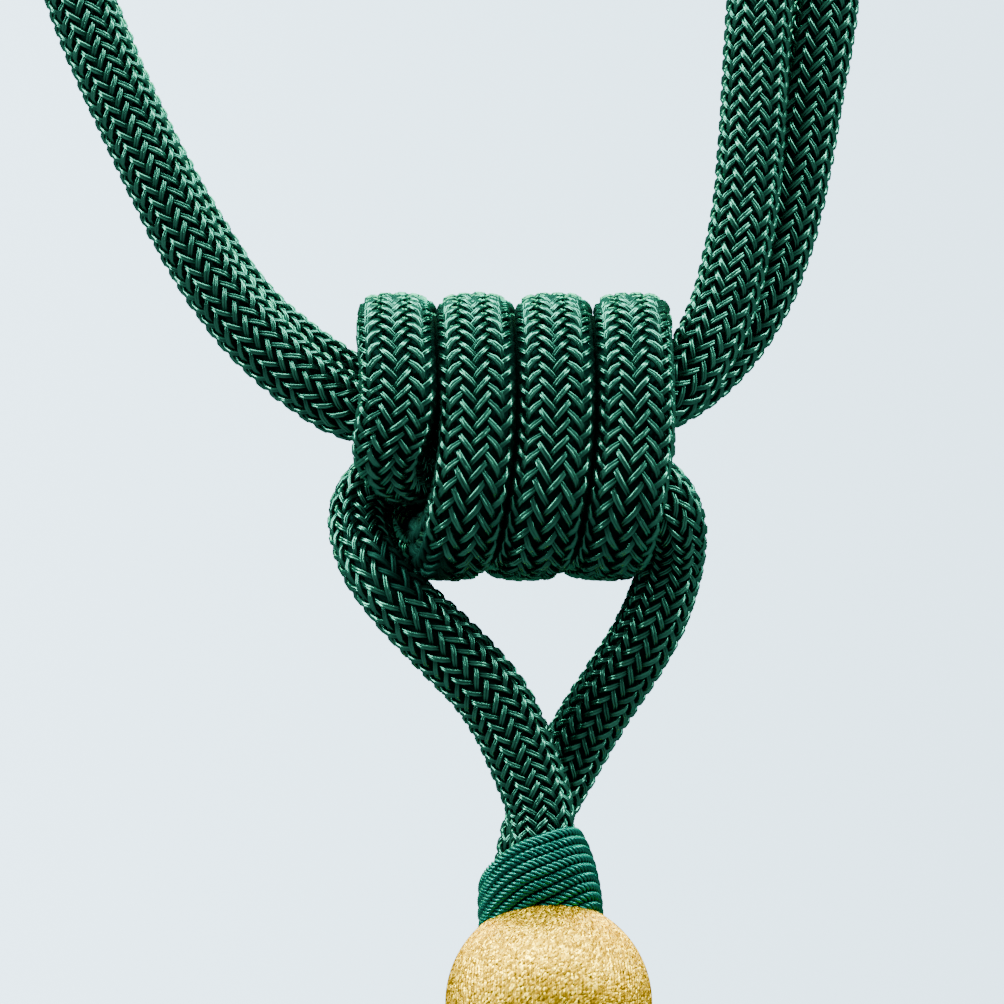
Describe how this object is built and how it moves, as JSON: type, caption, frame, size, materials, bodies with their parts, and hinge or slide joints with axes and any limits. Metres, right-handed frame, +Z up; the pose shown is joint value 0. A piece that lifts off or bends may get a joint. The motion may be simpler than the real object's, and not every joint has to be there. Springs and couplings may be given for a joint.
{
  "type": "curtain tieback tassel",
  "caption": "Braided cord curtain tieback: a doubled cord loop, a barrel knot tied round it, and a hanging tassel with a bound neck, a thread-covered ball and a cut yarn skirt.",
  "frame": {"origin": "on the axis of the wall hook that the loop's two ends hang on, midway between them", "axes": "+Z up, -Y the front of the knot and tassel, +X to the right seen from the front"},
  "size_m": [0.145, 0.0458, 0.4369],
  "materials": {
    "loop_cord": "braided glossy rayon cord, dark green",
    "knot_cord": "braided glossy rayon cord, dark green",
    "binding_thread": "twisted green thread with a glitter ply",
    "gold_thread": "wound gold metallic thread",
    "skirt_yarn": "cut glossy rayon yarn, dark green"
  },
  "bodies": {
    "root": {"embrace_cord": "loop_cord", "tassel_cord": "knot_cord", "neck_binding": "binding_thread", "ball_head": "gold_thread", "skirt": "skirt_yarn"}
  },
  "joints": []
}
